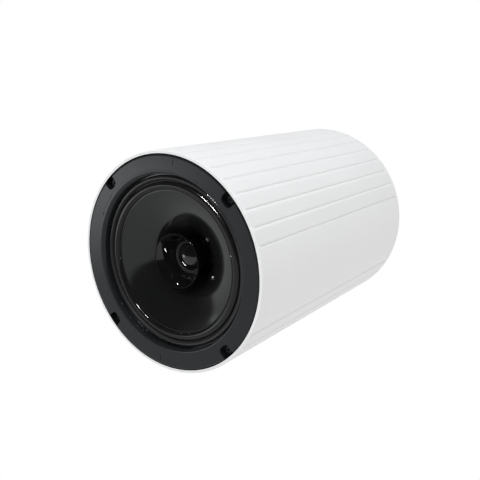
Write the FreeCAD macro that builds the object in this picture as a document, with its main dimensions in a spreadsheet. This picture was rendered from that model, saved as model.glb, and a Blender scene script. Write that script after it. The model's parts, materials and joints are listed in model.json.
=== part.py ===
"""Pendant speaker: a fluted white cylinder with a coaxial driver in its lower end.

The part is modelled as it hangs, with +Z up. Its origin is the centre of the suspension eye. Inside
each body, z is the depth behind the housing's front rim, and the body's placement then hangs it
below the eye.
"""
import FreeCAD, Part
import math
import os
import re

import Sketcher

Vector = FreeCAD.Vector

# Driving dimensions, in millimetres and degrees
SIZES = {
    # housing
    "housing_radius": 100.0,
    "housing_wall": 2.8,
    "housing_length": 288.0,
    "rim_round": 0.8,
    "rear_round": 1.0,
    "groove_slots": 40,
    "panel_slots": 4,
    "groove_width": 2.8,
    "groove_depth": 1.0,
    "front_band": 3.5,
    "rear_band": 8.0,
    "panel_angle": 94.5,
    "shelf_thickness": 4.0,
    "shelf_reach": 4.5,
    "boss_radius": 4.5,
    "boss_length": 14.0,
    "rear_step": 1.0,
    "rear_boss_length": 20.0,
    # fits
    "seat_clearance": 0.3,
    "bond_gap": 0.05,
    "hole_clearance": 0.2,
    "thread_clearance": 0.05,
    "screw_end_gap": 1.5,
    # front ring
    "ring_width": 17.5,
    "ring_lap": 4.3,
    "ring_proud": 0.5,
    "ring_edge_round": 1.8,
    "ring_round": 5.0,
    "notch_width": 12.0,
    "notch_length": 10.0,
    "notch_depth": 7.0,
    "notch_round": 4.5,
    "seam_angle": 5.5,
    "seam_width": 0.5,
    "seam_length": 7.0,
    "seam_depth": 0.5,
    # screws
    "screw_count": 4,
    "screw_angle": 45.0,
    "screw_radius": 2.0,
    "head_radius": 3.7,
    "head_height": 2.4,
    "head_round": 1.1,
    "drive_radius": 1.3,
    "drive_depth": 1.4,
    # driver seat and surround
    "landing_depth": 9.6,
    "flange_thickness": 3.0,
    "gasket_thickness": 1.0,
    "land_width": 6.6,
    "roll_width": 7.5,
    "roll_height": 2.6,
    "surround_thickness": 0.8,
    "lip_width": 1.2,
    "trim_width": 5.2,
    "trim_height": 2.4,
    "trim_inset": 0.3,
    # cone and coil
    "cone_depth": 52.0,
    "cone_curve": 68.0,
    "cone_thickness": 1.0,
    "neck_length": 2.0,
    "former_radius": 13.4,
    "former_thickness": 0.5,
    "former_rise": 1.0,
    "coil_thickness": 0.75,
    "coil_length": 10.0,
    "coil_clearance": 0.5,
    "eyelet_circle": 35.8,
    "eyelet_radius": 2.2,
    "eyelet_height": 1.2,
    "eyelet_angle": 79.7,
    "eyelet_spread": 28.6,
    "lead_radius": 0.4,
    # basket and spider
    "basket_wall": 2.0,
    "basket_rear_radius": 56.0,
    "basket_shoulder": 3.5,
    "window_count": 6,
    "window_width": 34.0,
    "window_margin": 5.0,
    "spider_gap": 0.2,
    "spider_thickness": 0.8,
    "spider_land": 7.0,
    "ledge_thickness": 2.0,
    "spider_room": 6.0,
    # motor
    "plate_radius": 45.0,
    "plate_thickness": 6.0,
    "magnet_radius": 47.5,
    "magnet_bore": 24.0,
    "magnet_thickness": 18.0,
    "magnet_round": 1.5,
    "yoke_thickness": 6.0,
    "yoke_chamfer": 2.0,
    "post_radius": 9.0,
    "post_bore": 3.0,
    "post_fit": 0.05,
    "nut_flats": 22.0,
    "nut_thickness": 6.0,
    # tweeter
    "cup_radius": 25.4,
    "cup_depth": 13.0,
    "cup_lip": 1.2,
    "cup_flare": 1.5,
    "cup_waist": 18.8,
    "waist_depth": 19.0,
    "cup_tail": 16.8,
    "cup_floor": 1.3,
    "mouth_depth": 18.0,
    "horn_curve": 45.0,
    "pot_radius": 15.3,
    "pot_wall": 2.0,
    "pot_floor": 2.0,
    "dome_radius": 12.75,
    "dome_height": 5.8,
    "dome_thickness": 0.4,
    "tweeter_ring": 0.5,
    "tweeter_coil_thickness": 0.45,
    "tweeter_coil_length": 4.5,
    "tweeter_clearance": 0.5,
    "tweeter_plate": 2.0,
    "tweeter_magnet_thickness": 3.2,
    "tweeter_magnet_inset": 0.8,
    # terminals
    "strip_length": 28.0,
    "strip_thickness": 1.6,
    "wire_radius": 1.2,
    "wire_spacing": 14.0,
    "wire_inset": 5.0,
    # top cap
    "cap_thickness": 4.0,
    "cap_gasket_width": 10.0,
    "cap_screw_inset": 4.0,
    "cap_edge_round": 1.0,
    # suspension eye
    "eye_height": 24.0,
    "eye_bore": 6.5,
    "eye_radius": 12.0,
    "eye_thickness": 7.0,
    "eye_round": 1.5,
    "shank_radius": 5.0,
    "collar_radius": 12.0,
    "collar_thickness": 4.0,
    "washer_radius": 12.0,
    "washer_thickness": 1.6,
    "eye_nut_flats": 17.0,
    "eye_nut_thickness": 8.0,
    # cable gland
    "gland_offset": 45.0,
    "gland_thread": 8.0,
    "gland_bore": 5.6,
    "gland_flats": 22.0,
    "gland_hex_height": 6.0,
    "gland_dome_radius": 10.0,
    "gland_dome_height": 11.0,
    "gland_dome_round": 3.0,
    "gland_tail": 10.0,
    "seal_bore": 3.5,
    "seal_inset": 3.0,
    "gland_nut_flats": 22.0,
    "gland_nut_thickness": 5.0,
    # crossover
    "standoff_radius": 4.0,
    "standoff_length": 18.0,
    "board_margin": 2.0,
    "board_thickness": 1.6,
    "board_screw_inset": 7.0,
    "capacitor_radius": 9.0,
    "capacitor_length": 32.0,
    "inductor_radius": 20.0,
    "inductor_bore": 9.0,
    "inductor_height": 16.0,
    "resistor_length": 38.0,
    "resistor_side": 9.0,
    "block_length": 22.0,
    "block_width": 14.0,
    "block_height": 13.0,
    "component_gap": 3.0,
    # lining
    "lining_thickness": 10.0,
    "lining_gap": 3.0,
}

doc = FreeCAD.newDocument("pendant_speaker")
sheet = doc.addObject("Spreadsheet::Sheet", "sizes")
for row, (alias, value) in enumerate(SIZES.items(), start=1):
    sheet.set(f"A{row}", str(value))
    sheet.setAlias(f"A{row}", alias)
doc.recompute()

ALIAS_WORD = re.compile(r"\b(" + "|".join(SIZES) + r")\b")
FULL_TURN = 360.0


def size(text):
    """Turn a formula in the sheet's plain words into a bracketed expression."""
    return "(" + ALIAS_WORD.sub(r"<<sizes>>.\1", text) + ")"


def number(expression):
    """The value that an expression has now."""
    value = sheet.evalExpression(expression)
    return float(getattr(value, "Value", value))


# Radii and depths that several pieces share
BORE = size("housing_radius - housing_wall")
RING_OUTER = size("housing_radius - housing_wall - seat_clearance")
RING_INNER = f"({RING_OUTER} - {size('ring_width')})"
SCREW_CIRCLE = f"({RING_OUTER} - {size('notch_length / 2')})"
FLANGE_REBATE = f"({RING_INNER} + {size('ring_lap')})"
FLANGE_OUTER = f"({FLANGE_REBATE} - {size('seat_clearance')})"
SHELF_INNER = f"({RING_INNER} - {size('shelf_reach')})"
FLANGE_REAR = size("landing_depth + flange_thickness")
SHELF_DEPTH = size("landing_depth + flange_thickness + gasket_thickness")
SHELF_REAR = f"({SHELF_DEPTH} + {size('shelf_thickness')})"
NOTCH_FLOOR = size("notch_depth - ring_proud")

SURROUND_OUTER = f"({RING_INNER} - {size('seat_clearance')})"
ROLL_OUTER = f"({SURROUND_OUTER} - {size('land_width')})"
CONE_EDGE = f"({ROLL_OUTER} - {size('roll_width')})"
LIP_INNER = f"({CONE_EDGE} - {size('lip_width')})"
SURROUND_FRONT = size("landing_depth - surround_thickness")

FORMER_INNER = size("former_radius - former_thickness")
NECK_RADIUS = size("former_radius + bond_gap")
COIL_INNER = size("former_radius + bond_gap")
COIL_OUTER = size("former_radius + bond_gap + coil_thickness")
GAP_OUTER = f"({COIL_OUTER} + {size('coil_clearance')})"
POLE_RADIUS = f"({FORMER_INNER} - {size('coil_clearance')})"
NECK_END = size("cone_depth + neck_length")
CONE_RUN = f"({LIP_INNER} - {NECK_RADIUS})"
CONE_FALL = size("cone_depth - landing_depth")
CONE_CHORD = f"(sqrt({CONE_RUN}^2 + {CONE_FALL}^2))"
CURVE_REACH = f"(sqrt({size('cone_curve')}^2 - {CONE_CHORD}^2 / 4))"
CURVE_RADIUS = f"(({LIP_INNER} + {NECK_RADIUS}) / 2 + {CURVE_REACH} * {CONE_FALL} / {CONE_CHORD})"
CURVE_DEPTH = f"({size('(landing_depth + cone_depth) / 2')} + {CURVE_REACH} * {CONE_RUN} / {CONE_CHORD})"
SPIDER_FRONT = f"({NECK_END} + {size('spider_gap')})"
SPIDER_REAR = f"({SPIDER_FRONT} + {size('spider_thickness')})"
LEDGE_REAR = f"({SPIDER_REAR} + {size('ledge_thickness')})"
BASKET_FLOOR = f"({LEDGE_REAR} + {size('spider_room')})"
PLATE_FRONT = f"({BASKET_FLOOR} + {size('basket_wall')})"
PLATE_REAR = f"({PLATE_FRONT} + {size('plate_thickness')})"
COIL_MIDDLE = f"({PLATE_FRONT} + {size('plate_thickness / 2')})"
COIL_FRONT = f"({COIL_MIDDLE} - {size('coil_length / 2')})"
COIL_REAR = f"({COIL_MIDDLE} + {size('coil_length / 2')})"
MAGNET_REAR = f"({PLATE_REAR} + {size('magnet_thickness')})"
YOKE_REAR = f"({MAGNET_REAR} + {size('yoke_thickness')})"
POST_END = f"({YOKE_REAR} + {size('nut_thickness')})"
BASKET_THROAT = f"({SHELF_INNER} - {size('seat_clearance')})"
BASKET_INNER = size("basket_rear_radius - basket_wall")
LEDGE_INNER = f"({BASKET_INNER} - {size('spider_land')})"

TWEETER_RING_FRONT = size("cup_depth + mouth_depth")
POT_FRONT = f"({TWEETER_RING_FRONT} + {size('tweeter_ring')})"
POT_BORE = size("pot_radius - pot_wall")
POLE_PLATE_REAR = f"({POT_FRONT} + {size('tweeter_plate')})"
POT_FLOOR = f"({POLE_PLATE_REAR} + {size('tweeter_magnet_thickness')})"
POT_REAR = f"({POT_FLOOR} + {size('pot_floor')})"
CUP_REAR = f"({POT_REAR} + {size('cup_floor')})"
POCKET_RADIUS = size("pot_radius + hole_clearance")

CAP_FRONT = size("housing_length - cap_thickness")
CAP_SEAT = f"({CAP_FRONT} - {size('gasket_thickness')})"
CAP_BORE = f"({BORE} + {size('rear_step')})"
CAP_OUTER = f"({CAP_BORE} - {size('seat_clearance')})"
CAP_SCREW_CIRCLE = f"({BORE} - {size('cap_screw_inset')})"
BOARD_REAR = f"({CAP_FRONT} - {size('standoff_length')})"
BOARD_FRONT = f"({BOARD_REAR} - {size('board_thickness')})"
STRIP_REAR = f"({PLATE_FRONT} + {size('strip_thickness')})"
WIRE_X = size("basket_rear_radius + wire_inset")
BOARD_HALF_LENGTH = f"({WIRE_X} + {size('board_margin')})"
BOARD_HALF_WIDTH = size("inductor_radius + component_gap + block_width + board_margin")
STANDOFF_X = f"({BOARD_HALF_LENGTH} - {size('board_screw_inset')})"
STANDOFF_Y = f"({BOARD_HALF_WIDTH} - {size('board_screw_inset')})"
GROOVE_STEP = f"({360.0} / {size('groove_slots')})"


# Ways of making a piece
def new_body(label, turn=None):
    """A body whose z counts the depth behind the front rim, hung below the eye."""
    body = doc.addObject("PartDesign::Body", label)
    body.Label = label
    hang(body, turn)
    return body


def hang(piece, turn=None, depth="0"):
    """Place a piece below the eye at a depth, turned about the axis if asked."""
    if turn:
        piece.Placement.Rotation = FreeCAD.Rotation(Vector(0, 0, 1), number(turn))
        piece.setExpression(".Placement.Rotation.Angle", turn)
    piece.setExpression(".Placement.Base.z", f"{depth} - {size('housing_length + eye_height')}")


def origin_feature(body, role):
    return next(item for item in body.Origin.OriginFeatures if item.Role == role)


def new_sketch(body, plane, across=None, along=None, depth=None, turn=None):
    """A sketch on one of the body's own planes, shifted in the plane or off it, and turned in it."""
    sketch = body.newObject("Sketcher::SketchObject", f"{body.Name}_sketch")
    sketch.AttachmentSupport = [(origin_feature(body, plane), "")]
    sketch.MapMode = "FlatFace"
    if turn:
        angle = FreeCAD.Rotation(Vector(0, 0, 1), number(turn))
        sketch.AttachmentOffset = FreeCAD.Placement(Vector(0, 0, 0), angle)
        sketch.setExpression(".AttachmentOffset.Rotation.Angle", turn)
    if across:
        sketch.setExpression(".AttachmentOffset.Base.x", across)
    if along:
        sketch.setExpression(".AttachmentOffset.Base.y", along)
    if depth:
        sketch.setExpression(".AttachmentOffset.Base.z", depth)
    return sketch


def tie(sketch, kind, geometry, expression):
    """Add one constraint whose value is an expression of the sheet."""
    index = sketch.addConstraint(Sketcher.Constraint(kind, *geometry, number(expression)))
    sketch.setExpression(f"Constraints[{index}]", expression)


def arc_between(start, end, radius, side):
    """The short arc from start to end that bulges to the left (side 1) or the right (side -1)."""
    chord = end - start
    left = Vector(-chord.y, chord.x, 0).normalize()
    reach = math.sqrt(max(radius**2 - chord.Length**2 / 4, 0))
    centre = start + chord * 0.5 - left * side * reach
    first, last = (end, start) if side > 0 else (start, end)
    angles = [math.atan2(spot.y - centre.y, spot.x - centre.x) for spot in (first, last)]
    return Part.ArcOfCircle(Part.Circle(centre, Vector(0, 0, 1), radius), *angles)


def outline(sketch, corners):
    """A closed outline. A corner is (x, y); (x, y, radius, side) starts an arc to the next corner."""
    spots = [Vector(number(corner[0]), number(corner[1]), 0) for corner in corners]
    first = sketch.GeometryCount
    for index, corner in enumerate(corners):
        start = spots[index]
        end = spots[(index + 1) % len(corners)]
        if len(corner) == 4:
            sketch.addGeometry(arc_between(start, end, number(corner[2]), corner[3]))
        else:
            sketch.addGeometry(Part.LineSegment(start, end))
    starts = []
    for index in range(len(corners)):
        curve = sketch.Geometry[first + index]
        forward = (curve.StartPoint - spots[index]).Length < (curve.EndPoint - spots[index]).Length
        starts.append((first + index, 1, 2) if forward else (first + index, 2, 1))
    for index, corner in enumerate(corners):
        curve, start_end, far_end = starts[index]
        next_curve, next_start, _ = starts[(index + 1) % len(corners)]
        sketch.addConstraint(Sketcher.Constraint("Coincident", curve, far_end, next_curve, next_start))
        tie(sketch, "DistanceX", (-1, 1, curve, start_end), corner[0])
        tie(sketch, "DistanceY", (-1, 1, curve, start_end), corner[1])
        if len(corner) == 4:
            tie(sketch, "Radius", (curve,), corner[2])
    return sketch


def circle(sketch, x, y, radius):
    """A circle whose centre and radius follow the sheet."""
    centre = Vector(number(x), number(y), 0)
    index = sketch.addGeometry(Part.Circle(centre, Vector(0, 0, 1), number(radius)))
    tie(sketch, "DistanceX", (-1, 1, index, 3), x)
    tie(sketch, "DistanceY", (-1, 1, index, 3), y)
    tie(sketch, "Radius", (index,), radius)
    return sketch


def hexagon(sketch, across_flats, x="0", y="0"):
    """A hexagon given by the width across its flats."""
    corners = []
    for step in range(6):
        angle = math.radians(60 * step)
        corner_x = f"{x} + {across_flats} * {math.cos(angle) / math.sqrt(3):.9f}"
        corner_y = f"{y} + {across_flats} * {math.sin(angle) / math.sqrt(3):.9f}"
        corners.append((corner_x, corner_y))
    return outline(sketch, corners)


def rectangle(sketch, low_x, low_y, high_x, high_y):
    return outline(sketch, [(low_x, low_y), (high_x, low_y), (high_x, high_y), (low_x, high_y)])


def turned(body, corners, across=None, along=None, turn=None, axis="V_Axis"):
    """Revolve an outline of (radius, depth) corners about the body's axis, or one beside it."""
    sketch = new_sketch(body, "XZ_Plane", across=across, along=along, turn=turn)
    outline(sketch, corners)
    feature = body.newObject("PartDesign::Revolution", f"{body.Name}_turned")
    feature.Profile = sketch
    feature.ReferenceAxis = (sketch, [axis])
    feature.Angle = FULL_TURN
    body.Tip = feature
    return feature


def extruded(body, sketch, length, kind="Pad", reverse=False, both_ways=False):
    """Pad a sketch towards the rear, or pocket it towards the rear with reverse."""
    feature = body.newObject(f"PartDesign::{kind}", f"{body.Name}_{kind.lower()}")
    feature.Profile = sketch
    feature.setExpression("Length", length)
    feature.Reversed = reverse
    if both_ways:
        feature.SideType = "Symmetric"
    body.Tip = feature
    return feature


def cut_through(body, sketch, reverse=False):
    """Pocket a sketch through everything on one side of it."""
    feature = body.newObject("PartDesign::Pocket", f"{body.Name}_pocket")
    feature.Profile = sketch
    feature.Type = "ThroughAll"
    feature.Reversed = reverse
    body.Tip = feature
    return feature


def patterned(body, feature, count, angle=None):
    """Repeat a feature round the axis: evenly over a turn, or stepped by an angle."""
    pattern = body.newObject("PartDesign::PolarPattern", f"{body.Name}_pattern")
    pattern.Originals = [feature]
    pattern.Axis = (origin_feature(body, "Z_Axis"), [""])
    pattern.Angle = FULL_TURN
    if angle:
        pattern.Mode = "Spacing"
        pattern.setExpression("Offset", angle)
    pattern.setExpression("Occurrences", count)
    body.Tip = pattern
    return pattern


TOUCH = 1e-4


def eased(body, kind, amount, wanted):
    """Fillet or chamfer the edges of the body's tip that a test picks out."""
    doc.recompute()
    base = body.Tip
    names = [f"Edge{i + 1}" for i, edge in enumerate(base.Shape.Edges) if wanted(edge)]
    feature = body.newObject(f"PartDesign::{kind}", f"{body.Name}_{kind.lower()}")
    feature.Base = (base, names)
    feature.setExpression("Radius" if kind == "Fillet" else "Size", amount)
    body.Tip = feature
    return feature


def round_edge(radius, depth):
    """A test for the circular edges about the axis with this radius at this depth."""
    wanted_radius = number(radius)
    wanted_depth = number(depth)

    def test(edge):
        if not isinstance(edge.Curve, Part.Circle):
            return False
        centre = edge.Curve.Center
        on_axis = math.hypot(centre.x, centre.y) < TOUCH
        same_radius = abs(edge.Curve.Radius - wanted_radius) < TOUCH
        return on_axis and same_radius and abs(centre.z - wanted_depth) < TOUCH

    return test


def ring(label, inner, outer, front, rear):
    """A plain ring or sleeve with a rectangular section."""
    body = new_body(label)
    turned(body, [(inner, front), (outer, front), (outer, rear), (inner, rear)])
    return body


def disc(label, radius, front, rear):
    body = new_body(label)
    turned(body, [("0", front), (radius, front), (radius, rear), ("0", rear)])
    return body


# Housing: a ribbed tube with a shelf for the driver and screw bosses at both ends
def make_housing():
    body = new_body("housing")
    outer = size("housing_radius")
    length = size("housing_length")
    turned(body, [
        (outer, "0"), (outer, length), (CAP_BORE, length), (CAP_BORE, CAP_SEAT),
        (BORE, CAP_SEAT), (BORE, SHELF_REAR), (SHELF_INNER, SHELF_REAR),
        (SHELF_INNER, SHELF_DEPTH), (BORE, SHELF_DEPTH), (BORE, "0"),
    ])
    eased(body, "Fillet", size("rim_round"), round_edge(outer, "0"))
    eased(body, "Fillet", size("rear_round"), round_edge(outer, length))
    count = size("screw_count")
    angle = size("screw_angle")
    pilot = size("screw_radius + thread_clearance")
    for circle_radius, start, reach in (
        (SCREW_CIRCLE, SHELF_REAR, size("boss_length")),
        (CAP_SCREW_CIRCLE, f"({CAP_SEAT} - {size('rear_boss_length')})", size("rear_boss_length")),
    ):
        sketch = new_sketch(body, "XY_Plane", depth=start, turn=angle)
        circle(sketch, circle_radius, "0", size("boss_radius"))
        patterned(body, extruded(body, sketch, reach), count)
    front_hole = size("shelf_thickness + boss_length - screw_end_gap")
    sketch = new_sketch(body, "XY_Plane", depth=SHELF_DEPTH, turn=angle)
    circle(sketch, SCREW_CIRCLE, "0", pilot)
    patterned(body, extruded(body, sketch, front_hole, "Pocket", reverse=True), count)
    rear_hole = size("rear_boss_length - screw_end_gap")
    sketch = new_sketch(body, "XY_Plane", depth=CAP_SEAT, turn=angle)
    circle(sketch, CAP_SCREW_CIRCLE, "0", pilot)
    patterned(body, extruded(body, sketch, rear_hole, "Pocket"), count)
    start_angle = f"{size('panel_angle')} + {size('(panel_slots + 1) / 2')} * {GROOVE_STEP}"
    sketch = new_sketch(body, "XY_Plane", depth=size("front_band"), turn=start_angle)
    outline(sketch, [
        (size("housing_radius - groove_depth"), "0"),
        (size("housing_radius + groove_depth"), size("-groove_width")),
        (size("housing_radius + groove_depth"), size("groove_width")),
    ])
    run = size("housing_length - front_band - rear_band")
    groove = extruded(body, sketch, run, "Pocket", reverse=True)
    patterned(body, groove, size("groove_slots - panel_slots"), GROOVE_STEP)


# Front ring: clamps the driver's flange against the shelf
def make_front_ring():
    body = new_body("front_ring", turn=size("screw_angle"))
    face = size("-ring_proud")
    turned(body, [
        (f"{RING_INNER} + {size('ring_round')}", face), (RING_OUTER, face),
        (RING_OUTER, SHELF_DEPTH), (FLANGE_REBATE, SHELF_DEPTH),
        (FLANGE_REBATE, size("landing_depth")), (RING_INNER, size("landing_depth")),
        (RING_INNER, size("ring_round - ring_proud"), size("ring_round"), -1),
    ])
    eased(body, "Fillet", size("ring_edge_round"), round_edge(RING_OUTER, face))
    floor = f"({RING_OUTER} - {size('notch_length')})"
    corner = f"({floor} + {size('notch_round')})"
    half = size("notch_width / 2")
    inner_half = size("notch_width / 2 - notch_round")
    edge = size("housing_radius")
    sketch = new_sketch(body, "XY_Plane", depth=face)
    outline(sketch, [
        (corner, f"-{half}"), (edge, f"-{half}"), (edge, half),
        (corner, half, size("notch_round"), -1), (floor, inner_half),
        (floor, f"-{inner_half}", size("notch_round"), -1),
    ])
    notch = extruded(body, sketch, size("notch_depth"), "Pocket", reverse=True)
    patterned(body, notch, size("screw_count"))
    sketch = new_sketch(body, "XY_Plane", depth=face)
    circle(sketch, SCREW_CIRCLE, "0", size("screw_radius + hole_clearance"))
    patterned(body, cut_through(body, sketch, reverse=True), size("screw_count"))
    sketch = new_sketch(body, "XY_Plane", depth=face, turn=size("seam_angle - screw_angle"))
    seam_end = f"({RING_OUTER} - {size('ring_edge_round')})"
    rectangle(sketch, f"{seam_end} - {size('seam_length')}", size("-seam_width / 2"),
              seam_end, size("seam_width / 2"))
    patterned(body, extruded(body, sketch, size("seam_depth"), "Pocket", reverse=True), "2")


def make_screws(label, circle_radius, seat, end, facing):
    """Pan-head screws round the axis; facing is -1 where the heads point to the front, 1 to the rear."""
    body = new_body(label, turn=size("screw_angle"))

    def off(words):
        return f"({seat} + {facing} * {size(words)})"

    round_side = facing
    turned(body, [
        ("0", off("head_height - drive_depth")),
        (size("drive_radius"), off("head_height - drive_depth")),
        (size("drive_radius"), off("head_height")),
        (size("head_radius - head_round"), off("head_height"), size("head_round"), round_side),
        (size("head_radius"), off("head_height - head_round")),
        (size("head_radius"), seat), (size("screw_radius"), seat),
        (size("screw_radius"), end), ("0", end),
    ], across=circle_radius)
    patterned(body, body.Tip, size("screw_count"))


# Low-frequency driver: what stands still
def make_basket():
    body = new_body("basket")
    shoulder = f"({FLANGE_REAR} + {size('basket_shoulder')})"
    throat_inner = f"({BASKET_THROAT} - {size('basket_wall')})"
    floor_hole = f"({GAP_OUTER} + {size('basket_wall')})"
    rear = size("basket_rear_radius")
    turned(body, [
        (FLANGE_OUTER, size("landing_depth")), (FLANGE_OUTER, FLANGE_REAR),
        (BASKET_THROAT, FLANGE_REAR), (BASKET_THROAT, shoulder), (rear, LEDGE_REAR),
        (rear, PLATE_FRONT), (floor_hole, PLATE_FRONT), (floor_hole, BASKET_FLOOR),
        (BASKET_INNER, BASKET_FLOOR), (BASKET_INNER, LEDGE_REAR), (LEDGE_INNER, LEDGE_REAR),
        (LEDGE_INNER, SPIDER_REAR), (BASKET_INNER, SPIDER_REAR), (throat_inner, shoulder),
        (throat_inner, size("landing_depth")),
    ])
    sketch = new_sketch(body, "XZ_Plane")
    rectangle(
        sketch, LEDGE_INNER, f"{shoulder} + {size('window_margin')}",
        FLANGE_OUTER, f"{SPIDER_FRONT} - {size('window_margin')}",
    )
    window = extruded(body, sketch, size("window_width"), "Pocket", both_ways=True)
    patterned(body, window, size("window_count"))


def make_surround():
    body = new_body("surround")
    landing = size("landing_depth")
    radius = size("(roll_width^2 / 4 + roll_height^2) / (2 * roll_height)")
    turned(body, [
        (SURROUND_OUTER, landing), (ROLL_OUTER, landing, radius, 1), (CONE_EDGE, landing),
        (LIP_INNER, landing), (LIP_INNER, SURROUND_FRONT),
        (CONE_EDGE, SURROUND_FRONT, radius, -1), (ROLL_OUTER, SURROUND_FRONT),
        (SURROUND_OUTER, SURROUND_FRONT),
    ])


def make_trim():
    """The half-round bead that covers the surround's glued land."""
    body = new_body("surround_gasket")
    inner = f"({ROLL_OUTER} + {size('trim_inset')})"
    radius = size("(trim_width^2 / 4 + trim_height^2) / (2 * trim_height)")
    turned(body, [
        (f"{inner} + {size('trim_width')}", SURROUND_FRONT, radius, 1), (inner, SURROUND_FRONT),
    ])


def make_motor():
    ring("top_plate", GAP_OUTER, size("plate_radius"), PLATE_FRONT, PLATE_REAR)
    magnet = ring("magnet", size("magnet_bore"), size("magnet_radius"), PLATE_REAR, MAGNET_REAR)
    for depth in (PLATE_REAR, MAGNET_REAR):
        eased(magnet, "Chamfer", size("magnet_round"), round_edge(size("magnet_radius"), depth))
    yoke = new_body("yoke")
    bore = size("post_radius + post_fit")
    turned(yoke, [
        (bore, PLATE_FRONT), (POLE_RADIUS, PLATE_FRONT), (POLE_RADIUS, MAGNET_REAR),
        (size("plate_radius"), MAGNET_REAR), (size("plate_radius"), YOKE_REAR), (bore, YOKE_REAR),
    ])
    eased(yoke, "Chamfer", size("yoke_chamfer"), round_edge(size("plate_radius"), YOKE_REAR))


# Low-frequency driver: what moves
def make_cone():
    body = new_body("cone")
    landing = size("landing_depth")
    back = size("landing_depth + cone_thickness")
    neck_outer = f"({NECK_RADIUS} + {size('cone_thickness')})"
    turned(body, [
        (CONE_EDGE, landing), (LIP_INNER, landing, size("cone_curve"), 1),
        (NECK_RADIUS, size("cone_depth")), (NECK_RADIUS, NECK_END), (neck_outer, NECK_END),
        (neck_outer, size("cone_depth + cone_thickness / 2"), size("cone_curve - cone_thickness"), -1),
        (LIP_INNER, back), (CONE_EDGE, back),
    ])


def make_cone_leads():
    """Two lead joints on the cone's face, each with a wire behind the cone down to its neck."""
    out = f"({CURVE_RADIUS} - {size('eyelet_circle')})"
    drop = f"(sqrt({size('cone_curve')}^2 - {out}^2))"
    depth = f"({CURVE_DEPTH} - {drop})"
    slope = f"(atan2({out}; {drop}))"
    first = size("eyelet_angle - eyelet_spread")
    apart = size("2 * eyelet_spread")
    gap = size("bond_gap")
    eyelets = new_body("lead_eyelets", turn=first)
    top = size("bond_gap + eyelet_height")
    turned(eyelets, [
        ("0", gap), (size("eyelet_radius"), gap), (size("eyelet_radius * 0.7"), top), ("0", top),
    ], across=size("eyelet_circle"), along=depth, turn=f"180 deg - {slope}")
    patterned(eyelets, eyelets.Tip, "2", apart)
    leads = new_body("coil_leads", turn=first)
    wire = size("lead_radius")
    behind = size("cone_thickness + bond_gap + lead_radius")
    start_radius = f"({size('eyelet_circle')} + {behind} * sin({slope}))"
    start_depth = f"({depth} + {behind} * cos({slope}))"
    fall = f"({size('cone_depth + cone_thickness / 2')} - {start_depth})"
    run = f"({start_radius} - {NECK_RADIUS} - {behind})"
    reach = f"(sqrt({run}^2 + {fall}^2))"
    turned(leads, [("0", "0"), (reach, "0"), (reach, wire), ("0", wire)],
           across=start_radius, along=start_depth,
           turn=f"180 deg - atan2({fall}; {run})", axis="H_Axis")
    patterned(leads, leads.Tip, "2", apart)


# Tweeter on its post
def make_tweeter():
    cup = new_body("tweeter_housing")
    lip_rear = size("cup_depth + cup_lip")
    turned(cup, [
        (size("cup_radius - cup_lip"), size("cup_depth")), (size("cup_radius"), size("cup_depth")),
        (size("cup_radius"), lip_rear), (size("cup_radius - cup_flare"), lip_rear),
        (size("cup_waist"), size("cup_depth + waist_depth")), (size("cup_tail"), CUP_REAR),
        (size("post_bore"), CUP_REAR), (size("post_bore"), POT_REAR), (POCKET_RADIUS, POT_REAR),
        (POCKET_RADIUS, TWEETER_RING_FRONT, size("horn_curve"), -1),
    ])
    rim_round = size("cup_lip / 3")
    for radius in (size("cup_radius"), size("cup_radius - cup_lip")):
        eased(cup, "Fillet", rim_round, round_edge(radius, size("cup_depth")))
    pot = new_body("tweeter_yoke")
    turned(pot, [
        (POT_BORE, POT_FRONT), (size("pot_radius"), POT_FRONT), (size("pot_radius"), POT_REAR),
        ("0", POT_REAR), ("0", POT_FLOOR), (POT_BORE, POT_FLOOR),
    ])
    coil_inner = size("dome_radius - tweeter_coil_thickness")
    plate = f"({coil_inner} - {size('tweeter_clearance')})"
    disc("tweeter_pole_plate", plate, POT_FRONT, POLE_PLATE_REAR)
    disc("tweeter_magnet", f"{plate} - {size('tweeter_magnet_inset')}", POLE_PLATE_REAR, POT_FLOOR)
    ring("tweeter_suspension", size("dome_radius + bond_gap"), size("pot_radius"),
         TWEETER_RING_FRONT, POT_FRONT)
    coil_rear = f"{TWEETER_RING_FRONT} + {size('tweeter_coil_length')}"
    ring("tweeter_coil", coil_inner, size("dome_radius"), TWEETER_RING_FRONT, coil_rear)
    make_dome()
    ring("tweeter_post", size("post_bore"), size("post_radius"), CUP_REAR, POST_END)
    make_nut("post_nut", size("nut_flats"), size("post_radius + thread_clearance"), YOKE_REAR, POST_END)


def make_dome():
    body = new_body("tweeter_dome")
    base = TWEETER_RING_FRONT
    apex = f"({base} - {size('dome_height')})"
    outer_ball = size("(dome_radius^2 + dome_height^2) / (2 * dome_height)")
    wall = size("dome_thickness")
    inner_radius = size("dome_radius - dome_thickness")
    inner_height = size("dome_height - dome_thickness")
    inner_ball = f"(({inner_radius}^2 + {inner_height}^2) / (2 * {inner_height}))"
    turned(body, [
        (size("dome_radius"), base, outer_ball, 1), ("0", apex),
        ("0", f"{apex} + {wall}", inner_ball, -1), (inner_radius, base),
    ])


def make_nut(label, flats, hole, front, rear, x="0", y="0"):
    body = new_body(label)
    sketch = new_sketch(body, "XY_Plane", depth=front)
    hexagon(sketch, flats, x, y)
    circle(sketch, x, y, hole)
    extruded(body, sketch, f"{rear} - {front}")


# Top cap with the suspension eye and the cable gland
def standoff_spots():
    return [(f"{x} * {STANDOFF_X}", f"{y} * {STANDOFF_Y}") for x in (-1, 1) for y in (-1, 1)]


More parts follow.
